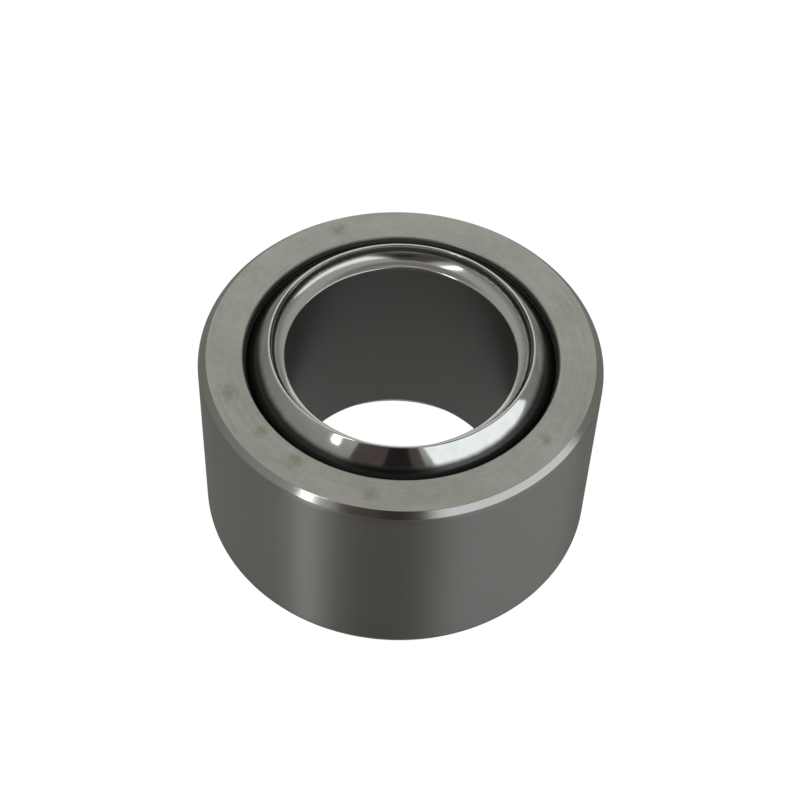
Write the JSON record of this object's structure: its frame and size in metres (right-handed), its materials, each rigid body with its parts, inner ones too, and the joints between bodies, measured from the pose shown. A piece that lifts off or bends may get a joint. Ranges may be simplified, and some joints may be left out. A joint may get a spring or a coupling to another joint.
{
  "type": "spherical plain bearing",
  "caption": "Spherical joint: a polished steel ball with a bore, held in a lined cylindrical race, tilting a few degrees to each side.",
  "frame": {"origin": "centre of the ball, midway between the end faces", "axes": "+Z along the bore and the race's axis; X and Y are alike"},
  "size_m": [0.0444, 0.0444, 0.0282],
  "materials": {
    "ground_steel": "ground satin steel with fine turning lines, polished edge chamfers",
    "liner_fabric": "matt black woven low-friction liner, bonded",
    "polished_steel": "mirror-polished hard steel, dark satin bore"
  },
  "bodies": {
    "race": {"outer_race": "ground_steel", "liner": "liner_fabric"},
    "ball": {"ball": "polished_steel"}
  },
  "joints": [
    {"name": "misalignment_tilt", "type": "hinge", "parent": "race", "child": "ball", "pos_m": [0, 0, 0], "axis": [0, 1, 0], "range_deg": [-6.5, 6.5]}
  ]
}
